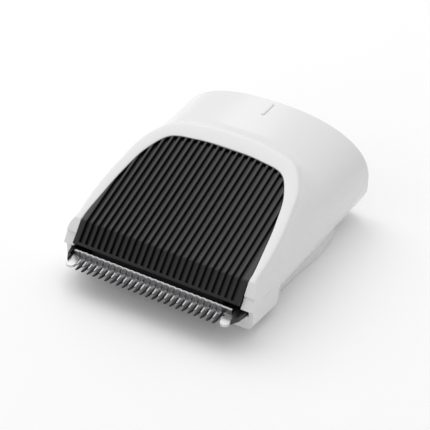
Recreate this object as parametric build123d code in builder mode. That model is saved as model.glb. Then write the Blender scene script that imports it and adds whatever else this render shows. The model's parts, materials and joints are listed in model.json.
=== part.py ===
"""Detachable cutting head of a hair clipper, as an assembly of separate pieces.

The row frame has its origin on the table under the middle of the head, +Z up, -Y towards the teeth
and +Y towards the collar that plugs onto the handle. Most pieces are drawn from the blade datum:
y runs back from the tips of the comb teeth and z up from the face on which the two blades slide.
"""
import os
from math import cos, radians, sin

from build123d import *

os.makedirs("parts", exist_ok=True)

# ---- overall ------------------------------------------------------------------------------------
HEAD_LENGTH = 57.4          # tips of the comb teeth to the rear rim
TIP_Y = -HEAD_LENGTH / 2
REAR = HEAD_LENGTH
BLADE_Z = 6.5               # sliding face of the blades above the table

# ---- case ---------------------------------------------------------------------------------------
FRONT_HALF = 23.6           # half-width of the case at the tabs
REAR_HALF = 24.6            # half-width of the case at the rear rim
CASE_FRONT = 4.0            # where the case sections start
SHOULDER_Z = 4.0            # height at which the case is widest
ARCH_RISE = 12.8            # from the shoulder to the top of the collar
ARCH_RISE_FRONT = 8.1       # and over the sloping face, at its front
ARCH_FULL = 41.0            # the arch has its full rise from here to the rear
ARCH_POWER = 2.3            # exponent of the arch's superellipse
TRAY_Z = -4.5               # underside of the tray
TRAY_CORNER = 6.5           # radius along the lower side edges
WALL = 1.4                  # case wall
PARTING_Z = 1.9             # joint between the two shells
PARTING_GAP = 0.12          # width of the visible joint line
SHELL_FRONT = 6.0           # front edge of the lower shell
BLOCK_REAR = 17.8           # rear end of the squarer block under the blades
BLOCK_CORNER = 2.0
BLOCK_Z = -4.2              # underside of the block at the front edge
BLOCK_WALL = 1.1
BLOCK_DROP = 1.0            # its floor falls by this much to the rear
SILL_Z = -1.95              # top of the block's front wall, just under the blade base
SILL_END_X, SILL_END_Z = 18.6, -0.7     # it stands higher at both ends, under the arms
MARK_Y, MARK_LENGTH, MARK_WIDTH = 53.6, 5.2, 1.0    # alignment mark on the collar
MARK_PROUD = 0.25
BEYOND = 40.0               # half-size of cutting volumes that reach past the case

# ---- sloping face -------------------------------------------------------------------------------
FOLD_Y = 8.3                # fold between the sloping face and the steep front face
FOLD_Z = 6.75
SLOPE = 19.5                # slope of the sloping face
BEZEL_LENGTH = 33.4         # fold to the rear end of the bezel, along the slope
BEZEL_WALL = 1.6            # thickness of the bezel
BEZEL_DEPTH = 6.0           # the bezel's sides run this far down into the case
BEZEL_FLARE = 0.8           # and spread by this much on the way
TAB_INNER = 21.15           # inner face of the front tabs
TAB_REAR = 9.6
# front edge of the tabs in side view, from the fold down to the parting line
TAB_EDGE = [(FOLD_Y, FOLD_Z), (6.35, 4.14), (6.6, 3.9), (4.9, 1.6), (5.6, 1.2), (5.88, PARTING_Z)]
# half-width and distance from the fold, along the slope
BEZEL = [(22.75, 0), (22.9, 6), (21.8, 17.6), (19.7, 26), (16.0, 30.9), (8.5, 33.0)]

# ---- ribbed cover -------------------------------------------------------------------------------
COVER_LENGTH = 29.2
COVER_GAP = 0.1             # between cover and bezel
COVER_DROP = 0.1            # rib crests under the bezel's face
COVER_SEAT = 0.05           # flange under the bezel's inner face
COVER_THICK = 2.4           # crests to underside, on the slope
LIP_Y, LIP_Z = 4.5, 2.73    # lower edge of the steep front face
LIP_FLOOR = 2.5             # its flat underside, just over the cutter's teeth
LIP_REAR = 6.0
COVER_BEND = 7.35           # the underside bends up here, under the fold
FLANGE_OUT = 0.8            # flange that holds the cover under the bezel
FLANGE_FRONT = 6.0
RIB_PITCH = 1.6
RIBS = 24
RIB_DEPTH = 0.85
GROOVE_TOP, GROOVE_FLOOR = 1.2, 0.5
COVER = [(21.0, 0), (20.3, 7.8), (19.3, 15), (17.2, 23), (14.4, 27.3), (8.0, 28.9)]

# ---- blades -------------------------------------------------------------------------------------
TOOTH_PITCH = 1.5
TEETH = 24
GAPS = TEETH + 1            # the outer gaps lie beside the end guards
GAP_X = (GAPS - 1) / 2 * TOOTH_PITCH
COMB_THICK = 0.6
COMB_ROOT = 4.2             # depth of the comb's gaps
COMB_REAR = 13.0
COMB_BEVEL, COMB_TIP = 2.2, 0.3     # length of the ground underside, thickness left at the tips
# half of one gap between two comb teeth, wider at the tips
COMB_GAP = [(0.62, -1), (0.55, 0.25), (0.33, 1.2), (0.3, COMB_ROOT - 0.3), (0, COMB_ROOT)]
GUARD_INNER, GUARD_OUTER = 18.3, 20.5
GUARD_TIP = 1.45            # where the guards' round tips start
CUTTER_HALF = 19.87
CUTTER_TIP = 1.1            # cutter tooth tips, behind the comb's
CUTTER_SHIFT = -0.56        # the cutter's teeth stand this far to the side of the comb's
CUTTER_END = 3.45           # front of the plain lands at both ends of the cutter
CUTTER_REAR = 8.7
CUTTER_RIDGE_Z = 1.9
CUTTER_LAND_Z = 1.0         # rear land that carries the yoke
# side view of the cutter: tooth tips, hollow bevel, ridge and rear land
CUTTER_SIDE = [
    (CUTTER_TIP, 0), (CUTTER_TIP, 0.25), (2.6, 0.42), (3.1, 0.75), (3.35, 1.25), (3.46, 1.75),
    (3.55, CUTTER_RIDGE_Z), (4.1, CUTTER_RIDGE_Z), (4.4, CUTTER_LAND_Z),
    (CUTTER_REAR, CUTTER_LAND_Z), (CUTTER_REAR, 0),
]
# half of one gap between two cutter teeth, pointed at the root
CUTTER_GAP = [(0.65, 0), (0.57, 1.2), (0.45, 1.7), (0.33, 2.2), (0.2, 2.65), (0, 3.3)]
GUIDE_FRONT = 8.75
GUIDE_THICK = 0.8
BASE_THICK = 1.25
BASE_REAR = 17.4
# half outlines of the plate under the comb and of the arm that runs forward beside it
BASE_OUTLINE = [
    (0, 4.6), (17.2, 4.6), (18.4, 8.0), (22.2, 11.0), (21.6, COMB_REAR), (17.5, BASE_REAR),
    (0, BASE_REAR),
]
ARM_SIDE = [(20.55, 1.7), (20.95, 2.35), (21.6, 3.4), (22.1, 5.5), (22.3, 7.8), (22.3, 12.0)]
ARM_TOP = 0.65              # top of the arms, over the sliding face
ARM_SHELF = -0.05           # under the cutter's path they are cut back to here
ARM_CLEAR = 21.15
ARM_CUT = (3.3, 9.0)
BASE_STEP = 0.2             # gap between the comb's rear edge and the raised part
GUIDE_HALF = 18.0
COMB_SCREW_X, COMB_SCREW_Y = 14.0, 10.9
RIVET_X, RIVET_Y, RIVET_R = 14.0, 7.4, 0.8

# ---- drive --------------------------------------------------------------------------------------
PIVOT_Y = 24.0              # lever pivot, behind the tooth tips
ARM = 14.3                  # pivot to drive pin
PIN_R = 1.2                 # drive pin
LEVER_Z = 3.4               # underside of the lever arm
LEVER_THICK = 1.4
NOSE_FRONT, NOSE_Z, NOSE_THICK = 8.2, 3.0, 0.9
# half outlines of the lever's thin front end and of its arm
NOSE_OUTLINE = [(0, NOSE_FRONT), (1.6, NOSE_FRONT), (2.3, NOSE_FRONT + 1), (2.5, 14), (0, 14)]
ARM_OUTLINE = [(0, 12.6), (2.4, 12.6), (3.2, PIVOT_Y), (2.9, 33.0), (0, 33.0)]
PIN_Z = 1.2                 # lower end of the drive pin
CARRIER_HALF, CARRIER_THICK = 17.0, 1.2
CARRIER_Y, CARRIER_LENGTH = 7.05, 3.1       # middle and length of the carrier's bar
YOKE_FRONT, YOKE_REAR, YOKE_WIDTH = 7.5, 11.5, 6.4
YOKE_TALL, YOKE_LIFT = 1.9, 0.05
YOKE_PLAY = 0.8             # the slot is this much longer than the pin, at each end
HUB_Z, HUB_TOP = 3.1, 6.0
FORK_SLOT = 3.0             # width of the rear fork's slot
FORK_Z, FORK_TALL = 2.2, 5.8
FORK_FRONT, FORK_END = 32.6, 38.8
FORK_WALL, FORK_WEB = 1.8, 1.8
PIN_TOP = 7.2
CLIP_LIFT, CLIP_THICK = 0.1, 0.5
CLIP_R, CLIP_MOUTH, CLIP_GROOVE = 3.0, 2.1, 0.35
HUB_R = 3.4
BUSH_R = 2.2
PIVOT_R = 1.5
RUN = 0.03                  # radial running clearance
SEAT = 0.02                 # radial clearance round pins and screws that don't turn

# ---- frame, spring and socket -------------------------------------------------------------------
PLATE_Z, PLATE_THICK = 0.2, 1.6
PLATE_HALF = 15.6
BULKHEAD_Y = 39.5
BULKHEAD_THICK = 1.5
BULKHEAD_INSET = 1.7        # leaves a gap to the inside of the case
WINDOW = 5.2                # half-width of the window for the handle's drive pin
WINDOW_Z, WINDOW_TALL = 5.2, 8.4
SCREW_X, SCREW_Y = 13.0, 15.3       # front frame screws
REAR_SCREW_Y = 35.0
CASE_SCREW_X, CASE_SCREW_Y = 18.0, 35.6
SCREW_R = 1.0               # M2 screws throughout
HEAD_R, HEAD_H = 1.9, 1.1
HEAD_DEEP = 1.6
FLAT_HEAD_R, FLAT_HEAD_H = 1.6, 0.69
BOSS_R = 2.1
SPRING_X = 9.5
WIRE_R = 0.4
WIRE_Z = 2.7
SPRING_REAR = 15.6
KEEPER_Z, KEEPER_THICK = 3.12, 0.8
KEEPER_FOOT, KEEPER_ARM = 4.2, 3.0  # size of a keeper's foot, and its reach over the wire
SPRING_FRONT, SPRING_BEND = 7.0, 1.2
REST_WIDTH, REST_LENGTH = 2.4, 2.6  # rests for the spring wire
LATCH_X = 20.4              # middle of the latch tongues
LATCH_ROOT, LATCH_END = 42.0, 52.0
LATCH_ROLL = 0.85           # radius of the rolled root, which rests on the bulkhead
LATCH_Z, LATCH_TALL = 2.2, 4.8
# inner and outer side of a latch tongue, measured out from its middle
LATCH_SIDE = [
    (-0.4, LATCH_ROOT), (-0.4, 48.4), (-1.2, 49.4), (-1.2, 50.2), (-0.4, LATCH_END),
    (0.4, LATCH_END), (0.4, LATCH_ROOT),
]

# ---- belly --------------------------------------------------------------------------------------
BELLY_FRONT, BELLY_REAR = 20.0, 53.5
BELLY_TALL = 2.7
BELLY_EDGE = 0.7
BELLY_FLARE = 1.2           # the sides spread by this much on the way down
# half outline of its underside: cut front corner, widest point and round rear end
BELLY_CORNER = [(20.4, BELLY_FRONT), (21.6, 26.0)]
BELLY_SIDE = [(22.8, 40.5), (21.6, 48.3)]

# ---- datum planes -------------------------------------------------------------------------------
PLAN = Plane(origin=(0, TIP_Y, BLADE_Z))
SIDE = Plane(origin=(0, TIP_Y, BLADE_Z), x_dir=(0, 1, 0), z_dir=(1, 0, 0))
FACE = Plane(
    origin=(0, TIP_Y + FOLD_Y, BLADE_Z + FOLD_Z),
    x_dir=(1, 0, 0),
    z_dir=(0, -sin(radians(SLOPE)), cos(radians(SLOPE))),
)


def across(y):
    """Cross-section plane, y behind the tooth tips; its normal points to the front."""
    return Plane(origin=(0, TIP_Y + y, BLADE_Z), x_dir=(1, 0, 0), z_dir=(0, -1, 0))


def level(z):
    """Horizontal plane at height z over the sliding face."""
    return PLAN.offset(z)


def at(x, y, z):
    """Point in the row frame from blade datum coordinates."""
    return (x, TIP_Y + y, BLADE_Z + z)


def pair(x, y, z):
    """The same point on both sides of the head."""
    return [at(x, y, z), at(-x, y, z)]


def finish(builder, label):
    """Name a finished piece and write it."""
    builder.part.label = label
    export_step(builder.part, f"parts/{label}.step")


def arch_rise(y):
    """Rise of the arch over the shoulder at y."""
    along = min(max((y - FOLD_Y) / (ARCH_FULL - FOLD_Y), 0), 1)
    return ARCH_RISE_FRONT + (ARCH_RISE - ARCH_RISE_FRONT) * along**2 * (3 - 2 * along)


def case_section(y, inset):
    """Case outline at y: a superellipse arch over a tray with rounded lower corners."""
    along = (y - CASE_FRONT) / (REAR - CASE_FRONT)
    half = FRONT_HALF + (REAR_HALF - FRONT_HALF) * along - inset
    rise = arch_rise(y) - inset
    floor = TRAY_Z + inset
    corner = TRAY_CORNER - inset
    power = 2 / ARCH_POWER
    arch = [
        (half * cos(radians(t)) ** power, SHOULDER_Z + rise * sin(radians(t)) ** power)
        for t in range(15, 90, 15)
    ]
    with BuildSketch(across(y)) as section:
        with BuildLine():
            Line((0, floor), (half - corner, floor))
            RadiusArc((half - corner, floor), (half, floor + corner), -corner)
            Line((half, floor + corner), (half, SHOULDER_Z))
            Spline(
                (half, SHOULDER_Z), *arch, (0, SHOULDER_Z + rise), tangents=((0, 1), (-1, 0))
            )
            mirror(about=Plane.YZ)
        make_face()
    return section.sketch


def face_outline(depth, waypoints, length, grow=0.0):
    """Outline at a depth under the sloping face: straight front edge, arched sides and rear."""
    points = [(x + grow, s) for x, s in waypoints]
    with BuildSketch(FACE.offset(-depth)) as outline:
        with BuildLine():
            Line((0, 0), points[0])
            Spline(*points, (0, length + grow), tangents=((0, 1), (-1, 0)))
            mirror(about=Plane.YZ)
        make_face()
    return outline.sketch


def side_profile(points):
    """Closed outline in side view, from points (y, z)."""
    with BuildSketch(SIDE) as profile:
        with BuildLine():
            Polyline(*points, close=True)
        make_face()
    return profile.sketch


def case_body(overrun, inset):
    """Loft through the case sections, longer by overrun at both ends."""
    middle = (FOLD_Y + ARCH_FULL) / 2
    stations = (CASE_FRONT - overrun, FOLD_Y, middle, ARCH_FULL, REAR + overrun)
    return [case_section(y, inset) for y in stations]


def slope_z(y, depth=0.0):
    """Height of the sloping face, or of a surface at a depth under it, at y."""
    return FOLD_Z + ((y - FOLD_Y) * sin(radians(SLOPE)) - depth) / cos(radians(SLOPE))


# ---- volumes shared by the shells ---------------------------------------------------------------
with BuildPart() as case_outer:
    loft(case_body(0, 0))
    loft([
        face_outline(0, BEZEL, BEZEL_LENGTH),
        face_outline(BEZEL_DEPTH, BEZEL, BEZEL_LENGTH, BEZEL_FLARE),
    ])
    split(bisect_by=FACE, keep=Keep.BOTTOM)

with BuildPart() as case_inner:
    loft(case_body(1, WALL))
    loft([
        face_outline(0, BEZEL, BEZEL_LENGTH, -BEZEL_WALL),
        face_outline(BEZEL_DEPTH, BEZEL, BEZEL_LENGTH, BEZEL_FLARE - BEZEL_WALL),
    ])
    split(bisect_by=FACE.offset(-BEZEL_WALL), keep=Keep.BOTTOM)

# The tabs at the front corners are solid up to their inner faces.
with BuildPart() as tab_solids:
    with BuildSketch(level(PARTING_Z - 1)):
        with Locations((BEYOND / 2 + TAB_INNER, TAB_REAR / 2), (-BEYOND / 2 - TAB_INNER, TAB_REAR / 2)):
            Rectangle(BEYOND, TAB_REAR)
    extrude(amount=BEYOND)

with BuildPart() as case_inner_upper:
    add(case_inner)
    add(tab_solids, mode=Mode.SUBTRACT)

# Bosses for the case screws run from the parting face up to the roof.
with BuildPart() as screw_bosses:
    with BuildSketch(level(PARTING_Z)):
        with Locations((CASE_SCREW_X, CASE_SCREW_Y), (-CASE_SCREW_X, CASE_SCREW_Y)):
            Circle(BOSS_R)
    extrude(amount=BEYOND)
    add(case_outer, mode=Mode.INTERSECT)

# ---- upper shell --------------------------------------------------------------------------------
with BuildPart() as upper_shell:
    extrude(
        side_profile([(FOLD_Y, BEYOND), *TAB_EDGE, (BEYOND * 2, PARTING_Z), (BEYOND * 2, BEYOND)]),
        amount=BEYOND,
        both=True,
    )
    add(case_outer, mode=Mode.INTERSECT)
    add(case_inner_upper, mode=Mode.SUBTRACT)
    # openings for the blades between the tabs and for the ribbed cover
    with BuildSketch(level(0)):
        with Locations((0, TAB_REAR / 2)):
            Rectangle(2 * TAB_INNER, TAB_REAR)
    extrude(amount=BEYOND, mode=Mode.SUBTRACT)
    extrude(
        face_outline(0, COVER, COVER_LENGTH, COVER_GAP), amount=-3 * BEZEL_WALL, mode=Mode.SUBTRACT
    )
    add(screw_bosses)
    with BuildSketch(level(PARTING_Z)):
        with Locations((CASE_SCREW_X, CASE_SCREW_Y), (-CASE_SCREW_X, CASE_SCREW_Y)):
            Circle(SCREW_R + SEAT)
    extrude(amount=5, mode=Mode.SUBTRACT)
    # alignment mark on top of the collar
    with BuildSketch(level(SHOULDER_Z + ARCH_RISE - WALL / 2)):
        with Locations((0, MARK_Y)):
            SlotOverall(MARK_LENGTH, MARK_WIDTH, rotation=90)
    extrude(amount=WALL / 2 + MARK_PROUD)
finish(upper_shell, "upper_shell")

# ---- lower shell --------------------------------------------------------------------------------
# The front of the tray is a squarer block whose floor falls away to the rear.
with BuildPart() as block_outer:
    extrude(
        side_profile([
            (SHELL_FRONT, 0), (SHELL_FRONT, BLOCK_Z), (BLOCK_REAR - 1.5, BLOCK_Z - BLOCK_DROP),
            (BLOCK_REAR, TRAY_Z), (BLOCK_REAR, 0),
        ]),
        amount=FRONT_HALF,
        both=True,
    )
    fillet(block_outer.edges().filter_by(Axis.Y, tolerance=8).group_by(Axis.Z)[0], BLOCK_CORNER)

with BuildPart() as block_inner:
    extrude(
        side_profile([
            (SHELL_FRONT - 1, PARTING_Z), (SHELL_FRONT - 1, BLOCK_Z + BLOCK_WALL),
            (BLOCK_REAR - 3.5, BLOCK_Z + BLOCK_WALL - 0.8 * BLOCK_DROP),
            (BLOCK_REAR - 3.5, PARTING_Z),
        ]),
        amount=FRONT_HALF - BLOCK_WALL,
        both=True,
    )
    fillet(block_inner.edges().filter_by(Axis.Y, tolerance=8).group_by(Axis.Z)[0], BLOCK_CORNER - BLOCK_WALL)

# A low wall closes the block's front under the blades.
with BuildPart() as front_wall:
    extrude(
        side_profile([
            (SHELL_FRONT, BLOCK_Z - 1), (SHELL_FRONT, SILL_Z),
            (SHELL_FRONT + BLOCK_WALL, SILL_Z), (SHELL_FRONT + BLOCK_WALL, BLOCK_Z - 1),
        ]),
        amount=FRONT_HALF,
        both=True,
    )
    with BuildSketch(level(BLOCK_Z)):
        with Locations(*[
            (side * (SILL_END_X + FRONT_HALF) / 2, SHELL_FRONT + BLOCK_WALL / 2) for side in (1, -1)
        ]):
            Rectangle(FRONT_HALF - SILL_END_X, BLOCK_WALL)
    extrude(amount=SILL_END_Z - BLOCK_Z)
    add(block_outer, mode=Mode.INTERSECT)

with BuildPart() as lower_shell:
    extrude(
        side_profile([
            (SHELL_FRONT, PARTING_Z - PARTING_GAP), (SHELL_FRONT, -BEYOND), (BEYOND * 2, -BEYOND),
            (BEYOND * 2, PARTING_Z - PARTING_GAP),
        ]),
        amount=BEYOND,
        both=True,
    )
    add(case_outer, mode=Mode.INTERSECT)
    add(block_outer)
    add(case_inner, mode=Mode.SUBTRACT)
    add(block_inner, mode=Mode.SUBTRACT)
    add(front_wall)
    # bosses: under the blade base, under the rear of the frame and round the case screws
    with BuildSketch(level(-COMB_THICK - BASE_THICK)):
        with Locations((SCREW_X, SCREW_Y), (-SCREW_X, SCREW_Y)):
            Circle(BOSS_R)
    extrude(amount=TRAY_Z + COMB_THICK + BASE_THICK)
    with BuildSketch(level(TRAY_Z + WALL / 2)):
        with Locations((SCREW_X, REAR_SCREW_Y), (-SCREW_X, REAR_SCREW_Y)):
            Circle(BOSS_R)
    extrude(amount=PLATE_Z - TRAY_Z - WALL / 2)
    with BuildSketch(level(TRAY_Z + WALL / 2)):
        with Locations((CASE_SCREW_X, CASE_SCREW_Y), (-CASE_SCREW_X, CASE_SCREW_Y)):
            Circle(BOSS_R)
    extrude(amount=PARTING_Z - PARTING_GAP - TRAY_Z - WALL / 2)
    # screw holes
    with BuildSketch(level(TRAY_Z + WALL + 0.3)):
        with Locations(
            (SCREW_X, SCREW_Y), (-SCREW_X, SCREW_Y), (SCREW_X, REAR_SCREW_Y), (-SCREW_X, REAR_SCREW_Y)
        ):
            Circle(SCREW_R + SEAT)
    extrude(amount=5, mode=Mode.SUBTRACT)
    with Locations(level(TRAY_Z)):
        with Locations((CASE_SCREW_X, CASE_SCREW_Y), (-CASE_SCREW_X, CASE_SCREW_Y)):
            CounterBoreHole(SCREW_R + SEAT, HEAD_R + 0.1, HEAD_DEEP, 12)
finish(lower_shell, "lower_shell")

# ---- belly cover --------------------------------------------------------------------------------
def belly_outline(z, inset):
    """Outline of the belly cover at height z, moved in by inset."""
    corner, side = ([(x - inset, y) for x, y in points] for points in (BELLY_CORNER, BELLY_SIDE))
    with BuildSketch(level(z)) as outline:
        with BuildLine():
            Polyline((0, BELLY_FRONT), *corner)
            Spline(corner[-1], *side, (0, BELLY_REAR - inset), tangents=((0, 1), (-1, 0)))
            mirror(about=Plane.YZ)
        make_face()
    return outline.sketch


with BuildPart() as belly_cover:
    loft([belly_outline(-BLADE_Z, 0), belly_outline(-BLADE_Z + BELLY_TALL, BELLY_FLARE)])
    fillet(belly_cover.faces().sort_by(Axis.Z)[0].edges(), BELLY_EDGE)
    add(case_outer, mode=Mode.SUBTRACT)
finish(belly_cover, "belly_cover")

# ---- ribbed cover -------------------------------------------------------------------------------
with BuildPart() as cover_bounds:
    extrude(face_outline(0, COVER, COVER_LENGTH), amount=-20)
    with BuildSketch(level(0)):
        with Locations((0, FOLD_Y - BEYOND / 2 + 1)):
            Rectangle(2 * COVER[0][0], BEYOND)
    extrude(amount=BEYOND)

# A flange round the rear of the cover holds it under the bezel.
with BuildPart() as cover_flange:
    extrude(
        face_outline(BEZEL_WALL + COVER_SEAT, COVER, COVER_LENGTH, FLANGE_OUT),
        amount=-(COVER_THICK - BEZEL_WALL - COVER_SEAT),
    )
    with BuildSketch(FACE):
        Rectangle(BEYOND * 2, FLANGE_FRONT * 2)
    extrude(amount=-BEYOND, mode=Mode.SUBTRACT)

# One groove between two ribs runs along the slope and down the steep front face.
STEEP = Plane(
    origin=at(0, LIP_Y, LIP_Z), x_dir=(1, 0, 0), z_dir=(0, LIP_Z - FOLD_Z, FOLD_Y - LIP_Y)
)
with BuildPart() as groove:
    for surface, reach in ((FACE.offset(-COVER_DROP), BEYOND), (STEEP, 12)):
        with BuildSketch(Plane(surface.origin, x_dir=(1, 0, 0), z_dir=surface.y_dir).offset(-3)):
            with BuildLine():
                Polyline(
                    (-GROOVE_TOP / 2, 1), (-GROOVE_TOP / 2, 0), (-GROOVE_FLOOR / 2, -RIB_DEPTH),
                    (GROOVE_FLOOR / 2, -RIB_DEPTH), (GROOVE_TOP / 2, 0), (GROOVE_TOP / 2, 1), close=True,
                )
            make_face()
        extrude(amount=reach)

with BuildPart() as ribbed_cover:
    extrude(
        side_profile([
            (LIP_Y, LIP_Z), (FOLD_Y, FOLD_Z - COVER_DROP), (40, slope_z(40, COVER_DROP)),
            (40, slope_z(40, COVER_THICK)), (COVER_BEND, slope_z(COVER_BEND, COVER_THICK)),
            (LIP_REAR, LIP_FLOOR), (LIP_Y + 0.3, LIP_FLOOR),
        ]),
        amount=BEYOND,
        both=True,
    )
    add(cover_bounds, mode=Mode.INTERSECT)
    add(cover_flange)
    with GridLocations(RIB_PITCH, 1, RIBS + 1, 1):
        add(groove, mode=Mode.SUBTRACT)
finish(ribbed_cover, "ribbed_cover")

# ---- blades -------------------------------------------------------------------------------------
with BuildPart() as comb_gap:
    with BuildSketch(level(-1)):
        with BuildLine():
            Polyline((0, -1), *COMB_GAP)
            mirror(about=Plane.YZ)
        make_face()
    extrude(amount=2)

with BuildPart() as comb_blade:
    with BuildSketch(level(-COMB_THICK)):
        with Locations((0, COMB_REAR / 2)):
            Rectangle(2 * GUARD_INNER, COMB_REAR)
    extrude(amount=COMB_THICK)
    with GridLocations(TOOTH_PITCH, 1, GAPS, 1):
        add(comb_gap, mode=Mode.SUBTRACT)
    # the underside is ground away towards the tips
    extrude(
        side_profile([
            (-1, -1), (-1, -COMB_TIP), (0, -COMB_TIP), (COMB_BEVEL, -COMB_THICK), (COMB_BEVEL, -1)
        ]),
        amount=GUARD_INNER,
        both=True,
        mode=Mode.SUBTRACT,
    )
    # end guards with rounded tips
    with BuildSketch(level(-COMB_THICK)):
        with BuildLine():
            Line((GUARD_INNER, COMB_REAR), (GUARD_INNER, GUARD_TIP))
            RadiusArc(
                (GUARD_INNER, GUARD_TIP), (GUARD_OUTER, GUARD_TIP), -(GUARD_OUTER - GUARD_INNER) / 2
            )
            Polyline(
                (GUARD_OUTER, GUARD_TIP), (GUARD_OUTER, COMB_REAR), (GUARD_INNER, COMB_REAR)
            )
        make_face()
        mirror(about=Plane.YZ)
    extrude(amount=COMB_THICK)
    with Locations(*pair(COMB_SCREW_X, COMB_SCREW_Y, 0)):
        Hole(SCREW_R + SEAT)
finish(comb_blade, "comb_blade")

with BuildPart() as cutter_gap:
    with BuildSketch(level(-1)):
        with BuildLine():
            Polyline((0, 0), *CUTTER_GAP)
            mirror(about=Plane.YZ)
        make_face()
    extrude(amount=CUTTER_RIDGE_Z + 2)

with BuildPart() as cutter_blade:
    extrude(
        side_profile(CUTTER_SIDE),
        amount=CUTTER_HALF,
        both=True,
    )
    with Locations((CUTTER_SHIFT, 0, 0)):
        with GridLocations(TOOTH_PITCH, 1, GAPS, 1):
            add(cutter_gap, mode=Mode.SUBTRACT)
    # plain end lands, over the end guards
    with BuildSketch(level(0)):
        with Locations(*[
            (CUTTER_SHIFT + side * (GAP_X + BEYOND / 2), CUTTER_END / 2) for side in (1, -1)
        ]):
            Rectangle(BEYOND, CUTTER_END)
    extrude(amount=CUTTER_RIDGE_Z, mode=Mode.SUBTRACT)
    with Locations(*pair(RIVET_X, RIVET_Y, CUTTER_LAND_Z)):
        Hole(RIVET_R + SEAT)
finish(cutter_blade, "cutter_blade")

with BuildPart() as guide_plate:
    with BuildSketch(PLAN):
        with Locations((0, (GUIDE_FRONT + COMB_REAR) / 2)):
            RectangleRounded(2 * GUIDE_HALF, COMB_REAR - GUIDE_FRONT, 0.8)
    extrude(amount=GUIDE_THICK)
    with Locations(*pair(COMB_SCREW_X, COMB_SCREW_Y, GUIDE_THICK)):
        CounterSinkHole(SCREW_R + SEAT, FLAT_HEAD_R + 0.05, 4)
finish(guide_plate, "guide_plate")

# The base carries the comb; an arm runs forward at each end, beside the end guard.
with BuildPart() as blade_base:
    with BuildSketch(level(-COMB_THICK - BASE_THICK)):
        with BuildLine():
            Polyline(*BASE_OUTLINE)
            mirror(about=Plane.YZ)
        make_face()
    extrude(amount=BASE_THICK)
    # the rear part rises to carry the frame
    with BuildSketch(level(-COMB_THICK)):
        with Locations((0, (COMB_REAR + BASE_STEP + BASE_REAR) / 2)):
            Rectangle(2 * PLATE_HALF, BASE_REAR - COMB_REAR - BASE_STEP)
    extrude(amount=COMB_THICK + PLATE_Z)
    with BuildSketch(level(-COMB_THICK)):
        with BuildLine():
            Polyline(*ARM_SIDE, (ARM_SIDE[0][0], ARM_SIDE[-1][1]), close=True)
        make_face()
        mirror(about=Plane.YZ)
    extrude(amount=COMB_THICK + ARM_TOP)
    # shelf under the path of the cutter's ends
    with BuildSketch(level(ARM_SHELF)):
        with Locations((0, sum(ARM_CUT) / 2)):
            Rectangle(2 * ARM_CLEAR, ARM_CUT[1] - ARM_CUT[0])
    extrude(amount=ARM_TOP - ARM_SHELF, mode=Mode.SUBTRACT)
    with Locations(*pair(COMB_SCREW_X, COMB_SCREW_Y, 0)):
        Hole(SCREW_R + SEAT)
    with Locations(*pair(SCREW_X, SCREW_Y, PLATE_Z)):
        Hole(SCREW_R + SEAT)
finish(blade_base, "blade_base")

# ---- screws -------------------------------------------------------------------------------------


def screw(length, countersunk=False):
    """M2 screw pointing down, with a cross recess; the top of its head is at the origin."""
    with BuildPart() as body:
        Cylinder(SCREW_R, length, align=(Align.CENTER, Align.CENTER, Align.MAX))
        if countersunk:
            Cone(SCREW_R, FLAT_HEAD_R, FLAT_HEAD_H, align=(Align.CENTER, Align.CENTER, Align.MAX))
        else:
            Cylinder(HEAD_R, HEAD_H, align=(Align.CENTER, Align.CENTER, Align.MAX))
            chamfer(body.edges().group_by(Axis.Z)[-1], 0.3)
        with BuildSketch():
            Rectangle(0.35, 1.5)
            Rectangle(1.5, 0.35)
        extrude(amount=-0.45, mode=Mode.SUBTRACT)
    return body.part


with BuildPart() as comb_screws:
    with Locations(*pair(COMB_SCREW_X, COMB_SCREW_Y, GUIDE_THICK - 0.03)):
        add(screw(GUIDE_THICK + COMB_THICK + BASE_THICK - 0.1, countersunk=True))
finish(comb_screws, "comb_screws")

with BuildPart() as frame_screws:
    with Locations(*pair(SCREW_X, SCREW_Y, KEEPER_Z + KEEPER_THICK + HEAD_H)):
        add(screw(KEEPER_Z + KEEPER_THICK + HEAD_H - TRAY_Z - WALL - 0.5))
    with Locations(*pair(SCREW_X, REAR_SCREW_Y, PLATE_Z + PLATE_THICK + HEAD_H)):
        add(screw(PLATE_THICK + PLATE_Z + HEAD_H - TRAY_Z - WALL - 0.5))
finish(frame_screws, "frame_screws")

with BuildPart() as case_screws:
    with Locations(*[
        Plane(origin=point, z_dir=(0, 0, -1))
        for point in pair(CASE_SCREW_X, CASE_SCREW_Y, TRAY_Z + HEAD_DEEP - HEAD_H)
    ]):
        add(screw(PARTING_Z + 4.6 - TRAY_Z - HEAD_DEEP + HEAD_H))
finish(case_screws, "case_screws")

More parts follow.
